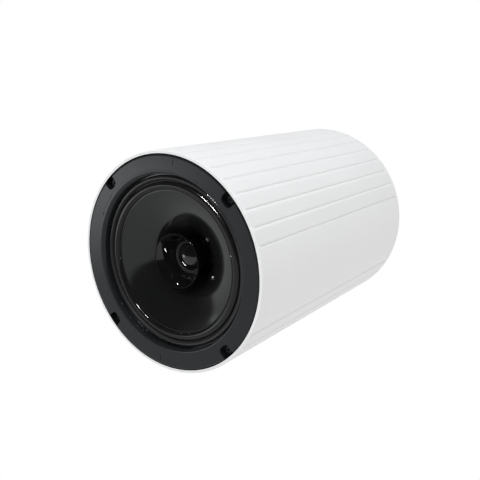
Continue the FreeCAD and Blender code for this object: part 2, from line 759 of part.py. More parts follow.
def make_cap():
    cap = disc("top_cap", CAP_OUTER, CAP_FRONT, size("housing_length"))
    eased(cap, "Fillet", size("cap_edge_round"), round_edge(CAP_OUTER, size("housing_length")))
    posts = new_sketch(cap, "XY_Plane", depth=BOARD_REAR)
    for x, y in standoff_spots():
        circle(posts, x, y, size("standoff_radius"))
    extruded(cap, posts, size("standoff_length"))
    pilots = new_sketch(cap, "XY_Plane", depth=BOARD_REAR)
    for x, y in standoff_spots():
        circle(pilots, x, y, size("screw_radius + thread_clearance"))
    extruded(cap, pilots, size("standoff_length - screw_end_gap"), "Pocket", reverse=True)
    holes = new_sketch(cap, "XY_Plane", depth=CAP_FRONT)
    circle(holes, "0", "0", size("shank_radius + hole_clearance"))
    circle(holes, "0", size("gland_offset"), size("gland_thread + hole_clearance"))
    cut_through(cap, holes, reverse=True)
    holes = new_sketch(cap, "XY_Plane", depth=CAP_FRONT, turn=size("screw_angle"))
    circle(holes, CAP_SCREW_CIRCLE, "0", size("screw_radius + hole_clearance"))
    patterned(cap, cut_through(cap, holes, reverse=True), size("screw_count"))
    gasket = ring("cap_gasket", f"{CAP_OUTER} - {size('cap_gasket_width')}", CAP_OUTER, CAP_SEAT, CAP_FRONT)
    holes = new_sketch(gasket, "XY_Plane", depth=CAP_SEAT, turn=size("screw_angle"))
    circle(holes, CAP_SCREW_CIRCLE, "0", size("screw_radius + hole_clearance"))
    patterned(gasket, cut_through(gasket, holes, reverse=True), size("screw_count"))


def make_eye():
    body = new_body("eye_bolt")
    top = size("housing_length")
    centre = size("housing_length + eye_height")
    loop = new_sketch(body, "XZ_Plane")
    circle(loop, "0", centre, size("eye_radius"))
    extruded(body, loop, size("eye_thickness"), both_ways=True)
    flat = number(size("eye_thickness / 2"))
    eased(body, "Fillet", size("eye_round"),
          lambda edge: isinstance(edge.Curve, Part.Circle)
          and abs(abs(edge.Curve.Center.y) - flat) < TOUCH)
    collar_top = size("housing_length + collar_thickness")
    neck_top = size("housing_length + eye_height - (eye_bore + eye_radius) / 2")
    washer_front = f"({CAP_FRONT} - {size('washer_thickness')})"
    nut_front = f"({washer_front} - {size('eye_nut_thickness')})"
    shank_end = f"({nut_front} - {size('screw_end_gap')})"
    shank = size("shank_radius")
    turned(body, [
        ("0", shank_end), (shank, shank_end), (shank, top), (size("collar_radius"), top),
        (size("collar_radius"), collar_top), (shank, collar_top), (shank, neck_top), ("0", neck_top),
    ])
    bore = new_sketch(body, "XZ_Plane")
    circle(bore, "0", centre, size("eye_bore"))
    extruded(body, bore, size("2 * eye_thickness"), "Pocket", both_ways=True)
    hole = size("shank_radius + hole_clearance")
    ring("eye_washer", hole, size("washer_radius"), washer_front, CAP_FRONT)
    thread = size("shank_radius + thread_clearance")
    make_nut("eye_nut", size("eye_nut_flats"), thread, nut_front, washer_front)


def make_gland():
    top = size("housing_length")
    offset = size("gland_offset")
    hex_top = size("housing_length + gland_hex_height")
    dome_top = size("housing_length + gland_hex_height + gland_dome_height")
    body = new_body("cable_gland")
    sketch = new_sketch(body, "XY_Plane", depth=f"{CAP_FRONT} - {size('gland_tail')}")
    circle(sketch, "0", offset, size("gland_thread"))
    extruded(body, sketch, size("gland_tail + cap_thickness"))
    sketch = new_sketch(body, "XY_Plane", depth=top)
    hexagon(sketch, size("gland_flats"), "0", offset)
    extruded(body, sketch, size("gland_hex_height"))
    sketch = new_sketch(body, "XY_Plane", depth=hex_top)
    circle(sketch, "0", offset, size("gland_dome_radius"))
    extruded(body, sketch, size("gland_dome_height"))
    dome_height = number(dome_top)
    eased(body, "Fillet", size("gland_dome_round"),
          lambda edge: isinstance(edge.Curve, Part.Circle)
          and abs(edge.Curve.Center.z - dome_height) < TOUCH)
    sketch = new_sketch(body, "XY_Plane", depth=f"{CAP_FRONT} - {size('gland_tail')}")
    circle(sketch, "0", offset, size("gland_bore"))
    cut_through(body, sketch, reverse=True)
    seal = new_body("gland_seal")
    sketch = new_sketch(seal, "XY_Plane", depth=f"{top} + {size('seal_inset')}")
    circle(sketch, "0", offset, size("gland_bore - bond_gap"))
    circle(sketch, "0", offset, size("seal_bore"))
    extruded(seal, sketch, f"{dome_top} - {top} - {size('2 * seal_inset')}")
    nut_front = f"({CAP_FRONT} - {size('gland_nut_thickness')})"
    thread = size("gland_thread + thread_clearance")
    make_nut("gland_nut", size("gland_nut_flats"), thread, nut_front, CAP_FRONT, "0", offset)


# Crossover, its wiring and the lining
def make_crossover():
    board = new_body("crossover_board")
    sketch = new_sketch(board, "XY_Plane", depth=BOARD_FRONT)
    rectangle(sketch, f"-{BOARD_HALF_LENGTH}", f"-{BOARD_HALF_WIDTH}", BOARD_HALF_LENGTH, BOARD_HALF_WIDTH)
    for x, y in standoff_spots():
        circle(sketch, x, y, size("screw_radius + hole_clearance"))
    extruded(board, sketch, size("board_thickness"))
    screws = new_body("board_screws")
    heads = new_sketch(screws, "XY_Plane", depth=f"{BOARD_FRONT} - {size('head_height')}")
    shanks = new_sketch(screws, "XY_Plane", depth=f"{BOARD_FRONT} - {size('head_height')}")
    for x, y in standoff_spots():
        circle(heads, x, y, size("head_radius"))
        circle(shanks, x, y, size("screw_radius"))
    extruded(screws, heads, size("head_height"))
    extruded(screws, shanks, size("head_height + board_thickness + standoff_length - 2 * screw_end_gap"))
    box("resistor", size("inductor_radius + component_gap"), size("-resistor_length / 2"),
        f"{BOARD_FRONT} - {size('resistor_side')}",
        size("resistor_side"), size("resistor_length"), size("resistor_side"))
    box("input_terminal_block", size("-block_length / 2"), size("inductor_radius + component_gap"),
        f"{BOARD_FRONT} - {size('block_height')}",
        size("block_length"), size("block_width"), size("block_height"))
    ring("inductor", size("inductor_bore"), size("inductor_radius"),
         f"{BOARD_FRONT} - {size('inductor_height')}", BOARD_FRONT)
    can = doc.addObject("Part::Cylinder", "capacitor")
    can.Label = "capacitor"
    can.setExpression("Radius", size("capacitor_radius"))
    can.setExpression("Height", size("capacitor_length"))
    can.Placement.Rotation = FreeCAD.Rotation(Vector(1, 0, 0), 90)
    hang(can, depth=f"{BOARD_FRONT} - {size('capacitor_radius')}")
    can.setExpression(".Placement.Base.x", size("-inductor_radius - component_gap - capacitor_radius"))
    can.setExpression(".Placement.Base.y", size("capacitor_length / 2"))


def box(label, x, y, depth, length, width, height):
    block = doc.addObject("Part::Box", label)
    block.Label = label
    block.setExpression("Length", length)
    block.setExpression("Width", width)
    block.setExpression("Height", height)
    hang(block, depth=depth)
    block.setExpression(".Placement.Base.x", x)
    block.setExpression(".Placement.Base.y", y)


def make_wiring():
    start = size("plate_radius + seat_clearance")
    box("terminal_strip", start, size("-strip_length / 2"), PLATE_FRONT,
        f"{WIRE_X} + {size('wire_radius + board_margin')} - {start}",
        size("strip_length"), size("strip_thickness"))
    leads = new_body("driver_leads")
    sketch = new_sketch(leads, "XY_Plane", depth=STRIP_REAR)
    for side in (-1, 1):
        circle(sketch, WIRE_X, f"{side} * {size('wire_spacing / 2')}", size("wire_radius"))
    extruded(leads, sketch, f"{BOARD_FRONT} - {STRIP_REAR}")


make_housing()
make_front_ring()
thread_end = f"({SHELF_REAR} + {size('boss_length - 2 * screw_end_gap')})"
make_screws("ring_screws", SCREW_CIRCLE, NOTCH_FLOOR, thread_end, -1)
ring("driver_gasket", SHELF_INNER, FLANGE_OUTER, FLANGE_REAR, SHELF_DEPTH)
make_basket()
make_surround()
make_trim()
ring("spider", size("former_radius + bond_gap"), f"{BASKET_INNER} - {size('seat_clearance')}",
     SPIDER_FRONT, SPIDER_REAR)
make_motor()
make_cone()
ring("coil_former", FORMER_INNER, size("former_radius"), size("cone_depth - former_rise"), COIL_REAR)
ring("voice_coil", COIL_INNER, COIL_OUTER, COIL_FRONT, COIL_REAR)
make_cone_leads()
make_tweeter()
make_cap()
cap_thread_end = f"({CAP_SEAT} - {size('rear_boss_length - 2 * screw_end_gap')})"
make_screws("cap_screws", CAP_SCREW_CIRCLE, size("housing_length"), cap_thread_end, 1)
make_eye()
make_gland()
make_crossover()
make_wiring()
ring("damping_lining", f"{BORE} - {size('lining_thickness')}", f"{BORE} - {size('seat_clearance')}",
     f"{SHELF_REAR} + {size('boss_length + lining_gap')}",
     f"{CAP_SEAT} - {size('rear_boss_length + lining_gap')}")

doc.recompute()

failed = [item.Label for item in doc.Objects if {"Invalid", "Error"} & set(item.State)]
if failed:
    raise RuntimeError("these objects failed: " + ", ".join(failed))
pieces = [item for item in doc.Objects
          if item.TypeId in ("PartDesign::Body", "Part::Box", "Part::Cylinder")]
for piece in pieces:
    if piece.Shape.isNull() or not piece.Shape.isValid() or not piece.Shape.Solids:
        raise RuntimeError(f"{piece.Label} has no valid solid")

os.makedirs("parts", exist_ok=True)
for piece in pieces:
    piece.Shape.exportStep(f"parts/{piece.Label}.step")
    print(f"{piece.Label}: {len(piece.Shape.Solids)} solid(s), {piece.Shape.Volume / 1000:.2f} cm3")
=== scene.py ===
# %% [markdown]
# A pendant speaker, dressed for its picture
#
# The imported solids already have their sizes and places. This lesson gives them their finishes, makes
# the soft rings that bend with the two drivers, and then sets the studio and the camera.

import json
import math

import bpy
import numpy as np
from mathutils import Matrix, Vector

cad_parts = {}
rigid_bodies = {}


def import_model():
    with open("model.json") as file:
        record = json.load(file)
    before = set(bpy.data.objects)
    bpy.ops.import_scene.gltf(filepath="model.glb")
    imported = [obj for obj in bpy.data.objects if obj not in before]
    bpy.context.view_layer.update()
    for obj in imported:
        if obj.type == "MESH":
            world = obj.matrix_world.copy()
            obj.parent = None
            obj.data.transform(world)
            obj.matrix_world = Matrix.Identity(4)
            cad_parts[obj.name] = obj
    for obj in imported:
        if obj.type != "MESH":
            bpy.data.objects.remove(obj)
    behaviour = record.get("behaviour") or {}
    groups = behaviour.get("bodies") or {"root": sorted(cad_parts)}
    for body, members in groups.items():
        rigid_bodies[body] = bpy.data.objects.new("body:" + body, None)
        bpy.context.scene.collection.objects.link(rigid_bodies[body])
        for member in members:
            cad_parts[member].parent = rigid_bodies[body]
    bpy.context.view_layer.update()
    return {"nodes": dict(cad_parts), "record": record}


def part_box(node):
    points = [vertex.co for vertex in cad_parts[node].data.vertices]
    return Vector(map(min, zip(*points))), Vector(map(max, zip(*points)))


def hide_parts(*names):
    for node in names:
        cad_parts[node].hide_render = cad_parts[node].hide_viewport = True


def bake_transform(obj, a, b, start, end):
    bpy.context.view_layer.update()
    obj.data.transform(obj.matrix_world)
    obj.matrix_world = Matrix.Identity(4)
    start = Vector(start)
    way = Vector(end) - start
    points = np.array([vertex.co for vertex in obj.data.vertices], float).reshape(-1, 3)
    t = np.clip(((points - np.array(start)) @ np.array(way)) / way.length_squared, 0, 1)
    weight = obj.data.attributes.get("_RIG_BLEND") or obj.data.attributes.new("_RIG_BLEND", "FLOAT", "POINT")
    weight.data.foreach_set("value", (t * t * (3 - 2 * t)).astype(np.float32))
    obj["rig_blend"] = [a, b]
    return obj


for leftover in list(bpy.data.objects):
    bpy.data.objects.remove(leftover)

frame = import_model()
nodes = frame["nodes"]

# %% [markdown]
# Every depth on this speaker is easiest to give as a distance behind the housing's front rim, as a
# maker would measure it with the driver facing up on the bench. One small function turns such a depth
# in millimetres into a height in the frame.

# %% Depths behind the front rim
MM = 0.001
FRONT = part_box("housing")[0].z
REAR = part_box("housing")[1].z
HOUSING_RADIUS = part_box("housing")[1].x / MM


def height(depth):
    """The height in metres of a depth in millimetres behind the front rim."""
    return FRONT + depth * MM


print("front rim at", round(FRONT, 4), "housing radius", round(HOUSING_RADIUS, 2), "mm")

# %% [markdown]
# The photograph was taken from in front of the driver and a little above it, with the speaker lying on
# its side. Its camera is given here in the speaker's own frame: where it stood from the centre of the
# front, which way its own right and up pointed, and how wide its lens saw. The middle of the picture
# is the middle of the lens, so there is no shift.

# %% Camera
CAMERA_FROM_FRONT = Vector((165.5, 367.5, -420.8))
CAMERA_RIGHT = Vector((0.0148, 0.8213, 0.5702))
CAMERA_UP = Vector((0.9685, -0.1534, 0.1959))
SENSOR_WIDTH = 36.0
LENS = 49.48


def make_camera():
    lens = bpy.data.cameras.new("photo_camera")
    lens.sensor_width = SENSOR_WIDTH
    lens.lens = LENS
    camera = bpy.data.objects.new("photo_camera", lens)
    bpy.context.scene.collection.objects.link(camera)
    right = CAMERA_RIGHT.normalized()
    back = right.cross(CAMERA_UP).normalized()
    turn = Matrix((right, back.cross(right), back)).transposed().to_4x4()
    place = Vector((0, 0, FRONT)) + CAMERA_FROM_FRONT * MM
    camera.matrix_world = Matrix.Translation(place) @ turn
    bpy.context.scene.camera = camera
    return camera


camera = make_camera()
print("camera stands", round(CAMERA_FROM_FRONT.length), "mm from the front's centre")

# %% [markdown]
# Finishes are written as sums. A socket of a shader node is wrapped in a small class, so that
# `1 - mask * 0.3` adds the nodes that work it out, and one method adds any other node. That keeps a
# finish as short as its idea.

# %% Writing shaders as sums
class Wire:
    """One output socket of a node tree, with arithmetic that adds nodes."""

    def __init__(self, finish, socket):
        self.finish = finish
        self.socket = socket

    def sum(self, operation, first, second):
        return self.finish.sum(operation, first, second)

    def __add__(self, other):
        return self.sum("ADD", self, other)

    def __sub__(self, other):
        return self.sum("SUBTRACT", self, other)

    def __rsub__(self, other):
        return self.sum("SUBTRACT", other, self)

    def __mul__(self, other):
        return self.sum("MULTIPLY", self, other)

    def __gt__(self, other):
        return self.sum("GREATER_THAN", self, other)

    __radd__ = __add__
    __rmul__ = __mul__


class Node:
    """A node whose outputs are read as wires by name."""

    def __init__(self, finish, node):
        self.finish = finish
        self.node = node

    def __getitem__(self, name):
        return Wire(self.finish, self.node.outputs[name])


class Finish:
    """A material, or the world, whose nodes are added one call at a time."""

    def __init__(self, owner):
        self.owner = owner
        owner.use_nodes = True
        self.tree = owner.node_tree
        self.tree.nodes.clear()

    def add(self, kind, settings=None, sockets=None):
        """Add a node of a kind; its settings come first, then its sockets' values or links."""
        node = self.tree.nodes.new(kind)
        for name, value in (settings or {}).items():
            setattr(node, name, value)
        for name, value in (sockets or {}).items():
            if isinstance(value, Wire):
                self.tree.links.new(value.socket, node.inputs[name])
            else:
                node.inputs[name].default_value = value
        return Node(self, node)

    def sum(self, operation, first, second):
        """One step of arithmetic on two wires or numbers."""
        return self.add("ShaderNodeMath", {"operation": operation}, {0: first, 1: second})["Value"]

    def noise(self, scale, detail=2.0, roughness=0.5):
        """Even speckle in the object's own metres, from 0 to 1."""
        place = self.add("ShaderNodeTexCoord")["Object"]
        return self.add(
            "ShaderNodeTexNoise", {},
            {"Vector": place, "Scale": scale, "Detail": detail, "Roughness": roughness},
        )["Fac"]

    def radius(self):
        """The distance in metres from the speaker's axis."""
        place = self.add("ShaderNodeTexCoord")["Object"]
        flat = self.add("ShaderNodeVectorMath", {"operation": "MULTIPLY"}, {0: place, 1: (1, 1, 0)})
        return self.add("ShaderNodeVectorMath", {"operation": "LENGTH"}, {0: flat["Vector"]})["Value"]

    def fade(self, value, start, end, first, last, kind="SMOOTHSTEP"):
        """A change from a first to a last value as a wire goes from start to end."""
        return self.add(
            "ShaderNodeMapRange", {"interpolation_type": kind},
            {"Value": value, "From Min": start, "From Max": end, "To Min": first, "To Max": last},
        )["Result"]

    def mixed(self, mask, first, second):
        """A colour that goes from the first to the second as the mask goes from 0 to 1."""
        return self.add(
            "ShaderNodeMix", {"data_type": "RGBA"}, {"Factor": mask, "A": first, "B": second}
        )["Result"]

    def bump(self, relief, strength, distance):
        return self.add(
            "ShaderNodeBump", {}, {"Height": relief, "Strength": strength, "Distance": distance}
        )["Normal"]

    def shader(self, **sockets):
        """One principled shader; an underscore in a socket's name stands for a space."""
        named = {name.replace("_", " "): value for name, value in sockets.items()}
        return self.add("ShaderNodeBsdfPrincipled", {}, named)["BSDF"]

    def joined(self, shader):
        """Join a shader to the output and give the finished material."""
        self.add("ShaderNodeOutputMaterial", {}, {"Surface": shader})
        return self.owner

    def surface(self, **sockets):
        """A material of one principled shader."""
        return self.joined(self.shader(**sockets))

    def surface_of_two(self, mask, first, second):
        """A material that goes from a first shader to a second as the mask goes from 0 to 1."""
        blend = self.add("ShaderNodeMixShader", {}, {0: mask, 1: first, 2: second})
        return self.joined(blend["Shader"])


def grey(level, warmth=0.0):
    """A near-neutral colour with its alpha."""
    return (level * (1 + warmth), level, level * (1 - warmth), 1.0)


def new_finish(name):
    return Finish(bpy.data.materials.new(name))


# %% [markdown]
# The housing is moulded white plastic with a fine satin texture. Two speckles do the work: a very fine
# one for the texture that keeps the reflections soft, and a broad faint one for the slight unevenness
# that any large moulding has.
#
# The solid's grooves are plain cuts. On the moulding one side of each cut is a soft shoulder and the
# other is a crisp edge, so that the panels between them lean a little, like boards on a wall. The
# angle round the axis is counted in grooves, and a bump follows the part after the whole number.
#
# Just inside its front rim the housing is painted near black, which is painted shade, so that nothing
# pale shows through the notches of the clamping ring.

# %% White shell
FIRST_GROOVE = math.radians(117.0)
GROOVE_STEP = math.radians(9.0)
SMOOTH_FROM = math.radians(315.0)
GROOVE_FLOOR = 98.4
BORE_RADIUS = 97.3
MOUTH_DEPTH = 40.0
SHOULDER_END = 0.20
EDGE_START = 0.91
SHOULDER_RISE = 0.5
EDGE_RISE = 0.4


def groove_shoulders(finish):
    """The relief in millimetres of the panels, which lean from a soft shoulder to a crisp edge."""
    place = finish.add("ShaderNodeTexCoord")["Object"]
    split = finish.add("ShaderNodeSeparateXYZ", {}, {"Vector": place})
    angle = finish.sum("ARCTAN2", split["Y"], split["X"])
    turn = finish.sum("FLOORED_MODULO", angle - FIRST_GROOVE, 2 * math.pi)
    part = finish.sum("FLOORED_MODULO", turn * (1 / GROOVE_STEP), 1.0)
    shoulder = finish.fade(part, 0.0, SHOULDER_END, 0.0, SHOULDER_RISE)
    edge = finish.fade(part, EDGE_START, 1.0, 0.0, EDGE_RISE)
    lean = finish.fade(part, SHOULDER_END, EDGE_START, 0.0, SHOULDER_RISE + EDGE_RISE, "LINEAR")
    grooved = (1 - (turn > SMOOTH_FROM)) * (finish.radius() > GROOVE_FLOOR * MM)
    return (shoulder + edge - lean) * grooved


def notch_shade_mask(finish):
    """A mask of 1 on the inside of the housing near its front, where painted shade goes, and 0 elsewhere."""
    place = finish.add("ShaderNodeTexCoord")["Object"]
    rise = finish.add("ShaderNodeSeparateXYZ", {}, {"Vector": place})["Z"]
    return (1 - (finish.radius() > BORE_RADIUS * MM)) * (1 - (rise > height(MOUTH_DEPTH)))


def white_shell():
    finish = new_finish("white_shell")
    cloud = finish.noise(9.0, detail=3.0)
    grain = finish.noise(2600.0, detail=2.0)
    white = finish.mixed(cloud, grey(0.80), grey(0.85))
    # Painted shade: the housing's mouth behind the ring's notches is coloured near black.
    colour = finish.mixed(notch_shade_mask(finish), white, grey(0.012))
    roughness = 0.40 + cloud * 0.12
    relief = groove_shoulders(finish) * MM + grain * 0.000012
    normal = finish.bump(relief, 1.0, 1.0)
    return finish.surface(
        Base_Color=colour, Roughness=roughness, Normal=normal, Specular_IOR_Level=0.45
    )


# %% [markdown]
# The clamping ring is black plastic with a closer satin. A broad speckle changes its gloss a little
# from place to place, as handling does. Its face stays nearly flat well into the rounding of its inner
# edge, which a bump gives: it rises with the square of the distance past the rounding's start.

# %% Black ring
ROUND_START = 84.4
ROUND_WIDTH = 2.5
ROUND_LIFT = 0.6


def black_ring():
    finish = new_finish("black_ring")
    grain = finish.noise(1900.0, detail=3.0)
    rub = finish.noise(38.0, detail=4.0, roughness=0.6)
    colour = finish.mixed(rub, grey(0.013, -0.12), grey(0.017, -0.12))
    roughness = 0.16 + rub * 0.10
    edge = finish.sum("MAXIMUM", ROUND_START * MM - finish.radius(), 0.0)
    relief = edge * edge * (ROUND_LIFT / 2 / ROUND_WIDTH / MM) + grain * 0.00001
    normal = finish.bump(relief, 1.0, 1.0)
    return finish.surface(
        Base_Color=colour, Roughness=roughness, Normal=normal, Specular_IOR_Level=0.30
    )


# %% [markdown]
# The cone is moulded polypropylene. It is glossy, but not a mirror: a slow change of gloss softens
# what it reflects. Its skirt turns up a little towards the surround, which a bump that grows with the
# square of the distance past a radius gives.

# %% Cone plastic
SKIRT_START = 42.0
SKIRT_END = 64.0
SKIRT_TILT = 0.13


def cone_plastic():
    finish = new_finish("cone_plastic")
    cloud = finish.noise(30.0, detail=3.0)
    colour = finish.mixed(cloud, grey(0.006, -0.03), grey(0.009, -0.03))
    roughness = 0.09 + cloud * 0.07
    skirt = finish.sum("MAXIMUM", finish.radius() - SKIRT_START * MM, 0.0)
    normal = finish.bump(skirt * skirt * (SKIRT_TILT / 2 / (SKIRT_END - SKIRT_START) / MM), 1.0, 1.0)
    return finish.surface(Base_Color=colour, Roughness=roughness, Normal=normal)


# %% [markdown]
# The surround is moulded rubber with a clear line of light along its roll. Towards its lip the glue
# has taken some shine off it, so there a duller shader takes over by the radius. The bead outside it
# is foam, dull on its inner side, with a smooth skin on its crest and its outer side.

# %% Rubber and foam
GLUE_END = 66.5
SHINE_START = 68.5
BEAD_INSIDE = 74.4
BEAD_CREST = 75.6


def surround_rubber():
    finish = new_finish("surround_rubber")
    bloom = finish.noise(120.0, detail=4.0)
    colour = finish.mixed(bloom, grey(0.006), grey(0.012))
    roughness = 0.08 + bloom * 0.08
    shiny = finish.shader(Base_Color=colour, Roughness=roughness, Specular_IOR_Level=0.34)
    dull = finish.shader(Base_Color=colour, Roughness=0.07, Specular_IOR_Level=0.24)
    shine = finish.fade(finish.radius(), GLUE_END * MM, SHINE_START * MM, 0.0, 1.0)
    return finish.surface_of_two(shine, dull, shiny)


def gasket_foam():
    finish = new_finish("gasket_foam")
    cells = finish.noise(1400.0, detail=4.0, roughness=0.7)
    colour = finish.mixed(cells, grey(0.014), grey(0.022))
    normal = finish.bump(cells, 0.02, 0.0002)
    skin = finish.shader(Base_Color=colour, Roughness=0.07 + cells * 0.04, Normal=normal)
    dull = finish.shader(Base_Color=colour, Roughness=0.5, Specular_IOR_Level=0.05)
    crest = finish.fade(finish.radius(), BEAD_INSIDE * MM, BEAD_CREST * MM, 0.0, 1.0)
    return finish.surface_of_two(crest, dull, skin)


# %% [markdown]
# The tweeter's cup is polished black, the most mirror-like surface on the speaker, but its rim hardly
# shines. Its dome is a coated film with the same polish. The ring that carries the dome is doped cloth
# with a visible weave.

# %% Tweeter finishes
CUP_POLISH_END = 23.8
CUP_RIM = 24.6


def tweeter_gloss():
    finish = new_finish("tweeter_gloss")
    haze = finish.noise(160.0, detail=3.0)
    colour = finish.mixed(haze, grey(0.003), grey(0.006))
    polished = finish.shader(Base_Color=colour, Roughness=0.015 + haze * 0.03)
    matt = finish.shader(Base_Color=colour, Roughness=0.05, Specular_IOR_Level=0.035)
    edge = finish.fade(finish.radius(), CUP_POLISH_END * MM, CUP_RIM * MM, 0.0, 1.0)
    return finish.surface_of_two(edge, polished, matt)


def dome_film():
    finish = new_finish("dome_film")
    haze = finish.noise(220.0, detail=3.0)
    colour = finish.mixed(haze, grey(0.004), grey(0.007))
    roughness = 0.01 + haze * 0.02
    return finish.surface(Base_Color=colour, Roughness=roughness, Coat_Weight=0.5, Coat_Roughness=0.02)


def dome_cloth():
    finish = new_finish("dome_cloth")
    weave = finish.noise(2400.0, detail=1.0)
    colour = finish.mixed(weave, grey(0.008), grey(0.022))
    normal = finish.bump(weave, 0.4, 0.0002)
    return finish.surface(Base_Color=colour, Roughness=0.45, Normal=normal)


# %% [markdown]
# The metals: black coated steel for the basket and ring screws, bright zinc plate for the hidden steel
# and the suspension, a turned alloy post, copper for the windings and tarnished eyelets. Rolling,
# turning and winding leave streaks, which a speckle stretched along one axis gives.

# %% Metals
def streaks(finish, scale, stretch):
    """A speckle drawn out along the axis of the speaker."""
    place = finish.add("ShaderNodeTexCoord")["Object"]
    drawn = finish.add("ShaderNodeMapping", {}, {"Vector": place, "Scale": (1.0, 1.0, stretch)})
    return finish.add(
        "ShaderNodeTexNoise", {}, {"Vector": drawn["Vector"], "Scale": scale, "Detail": 4.0}
    )["Fac"]


def black_steel():
    finish = new_finish("black_steel")
    peel = finish.noise(700.0, detail=2.0)
    colour = finish.mixed(peel, grey(0.005), grey(0.010))
    normal = finish.bump(peel, 0.15, 0.0001)
    return finish.surface(Base_Color=colour, Roughness=0.42, Normal=normal)


def zinc_steel():
    finish = new_finish("zinc_steel")
    streak = streaks(finish, 420.0, 0.06)
    colour = finish.mixed(streak, grey(0.50, -0.01), grey(0.66, -0.02))
    roughness = 0.22 + streak * 0.16
    return finish.surface(Base_Color=colour, Roughness=roughness, Metallic=1.0)


def post_alloy():
    finish = new_finish("post_alloy")
    streak = streaks(finish, 900.0, 12.0)
    colour = finish.mixed(streak, grey(0.52), grey(0.62))
    roughness = 0.28 + streak * 0.12
    return finish.surface(Base_Color=colour, Roughness=roughness, Metallic=1.0)


def copper():
    finish = new_finish("copper")
    turns = streaks(finish, 300.0, 16.0)
    colour = finish.mixed(turns, (0.42, 0.15, 0.06, 1.0), (0.62, 0.26, 0.11, 1.0))
    return finish.surface(Base_Color=colour, Roughness=0.28, Metallic=1.0)


def eyelet_metal():
    finish = new_finish("eyelet_metal")
    tarnish = finish.noise(600.0, detail=3.0)
    colour = finish.mixed(tarnish, grey(0.05), grey(0.12))
    return finish.surface(Base_Color=colour, Roughness=0.25, Metallic=0.6)


# %% [markdown]
# What the housing hides gets plain working finishes: ferrite, coil paper, treated cloth, fibre board,
# moulded cases, fired clay, nylon and felt. One function makes them from two colours and a grain.

# %% Hidden finishes
def grained(name, dark, light, scale, roughness, relief=0.2):
    """A finish of two colours mixed by a grain that also roughens the surface."""
    finish = new_finish(name)
    grain = finish.noise(scale, detail=4.0, roughness=0.6)
    colour = finish.mixed(grain, dark, light)
    normal = finish.bump(grain, relief, 0.0002)
    return finish.surface(Base_Color=colour, Roughness=roughness, Normal=normal)


FINISHES = {
    "white_shell": white_shell(),
    "black_ring": black_ring(),
    "cone_plastic": cone_plastic(),
    "surround_rubber": surround_rubber(),
    "gasket_foam": gasket_foam(),
    "tweeter_gloss": tweeter_gloss(),
    "dome_film": dome_film(),
    "dome_cloth": dome_cloth(),
    "black_steel": black_steel(),
    "zinc_steel": zinc_steel(),
    "post_alloy": post_alloy(),
    "copper": copper(),
    "eyelet_metal": eyelet_metal(),
    "ferrite": grained("ferrite", grey(0.03), grey(0.07), 900.0, 0.55),
    "lead_sleeve": grained("lead_sleeve", grey(0.02), grey(0.03), 500.0, 0.4, 0.05),
    "former_paper": grained("former_paper", grey(0.004, 0.1), grey(0.008, 0.1), 500.0, 0.7),
    "spider_cloth": grained(
        "spider_cloth", (0.33, 0.22, 0.07, 1), (0.5, 0.36, 0.14, 1), 1200.0, 0.8, 0.6
    ),
    "board_fibre": grained(
        "board_fibre", (0.02, 0.11, 0.04, 1), (0.03, 0.15, 0.06, 1), 700.0, 0.4, 0.1
    ),
    "strip_fibre": grained("strip_fibre", (0.09, 0.045, 0.02, 1), (0.14, 0.07, 0.03, 1), 800.0, 0.6),
    "component_case": grained(
        "component_case", (0.02, 0.022, 0.05, 1), (0.03, 0.033, 0.07, 1), 600.0, 0.4, 0.1
    ),
    "resistor_body": grained("resistor_body", grey(0.5, 0.03), grey(0.6, 0.04), 900.0, 0.85),
    "gland_nylon": grained("gland_nylon", grey(0.014), grey(0.022), 1500.0, 0.45, 0.1),
    "lining_felt": grained("lining_felt", grey(0.06), grey(0.16), 1100.0, 0.95, 0.8),
}


def dress(piece, finish):
    piece.data.materials.clear()
    piece.data.materials.append(finish)


for row in frame["record"]["subparts"]:
    dress(nodes[row["node"]], FINISHES[row["material_slot"]])
print("finishes:", len(FINISHES))

# %% [markdown]
# Three soft rings cross a joint: the rubber surround and the treated cloth spider follow the cone, and
# the cloth ring of the tweeter follows its dome. Each is turned from a thin section. Its outer edge
# stays with the enclosure, its inner edge moves, and every point between takes its share by its
# radius.

# %% Turning a section about the axis
TURN_STEPS = 256


def turned(name, section, finish, steps=TURN_STEPS):
    """A closed ring turned from (radius, depth) points in millimetres, in order round the section."""
    angles = [2 * math.pi * step / steps for step in range(steps)]
    points = [
        (radius * MM * math.cos(angle), radius * MM * math.sin(angle), height(depth))
        for angle in angles for radius, depth in section
    ]
    count = len(section)
    faces = []
    for step in range(steps):
        here = step * count
        there = (step + 1) % steps * count
        for index in range(count):
            after = (index + 1) % count
            faces.append((here + index, there + index, there + after, here + after))
    mesh = bpy.data.meshes.new(name)
    mesh.from_pydata(points, [], faces)
    mesh.update()
    mesh.shade_smooth()
    mesh.set_sharp_from_angle(angle=math.radians(40))
    piece = bpy.data.objects.new(name, mesh)
    bpy.context.scene.collection.objects.link(piece)
    dress(piece, finish)
    return piece


def bends_between(piece, still, moving, outer, inner):
    """Let a ring's share of the motion grow from its outer radius to its inner one."""
    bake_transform(piece, still, moving, start=(outer * MM, 0, FRONT), end=(inner * MM, 0, FRONT))
    mesh = piece.data
    places = np.array([vertex.co[:] for vertex in mesh.vertices])
    radius = np.hypot(places[:, 0], places[:, 1]) / MM
    share = np.clip((outer - radius) / (outer - inner), 0, 1)
    share = share * share * (3 - 2 * share)
    mesh.attributes["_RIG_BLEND"].data.foreach_set("value", share.astype(np.float32))


# %% [markdown]
# The surround is one rubber moulding: a flat that is glued to the basket, a half roll and a lip that
# is glued to the cone's edge. Its front skin and its back skin are the same line a wall apart.

# %% Surround
LANDING = 9.6
SURROUND_WALL = 0.8
SURROUND_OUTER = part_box("surround")[1].x / MM
ROLL_OUTER = 72.5
ROLL_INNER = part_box("cone")[1].x / MM
LIP_INNER = ROLL_INNER - 1.2
ROLL_HEIGHT = 2.6
ROLL_STEPS = 24


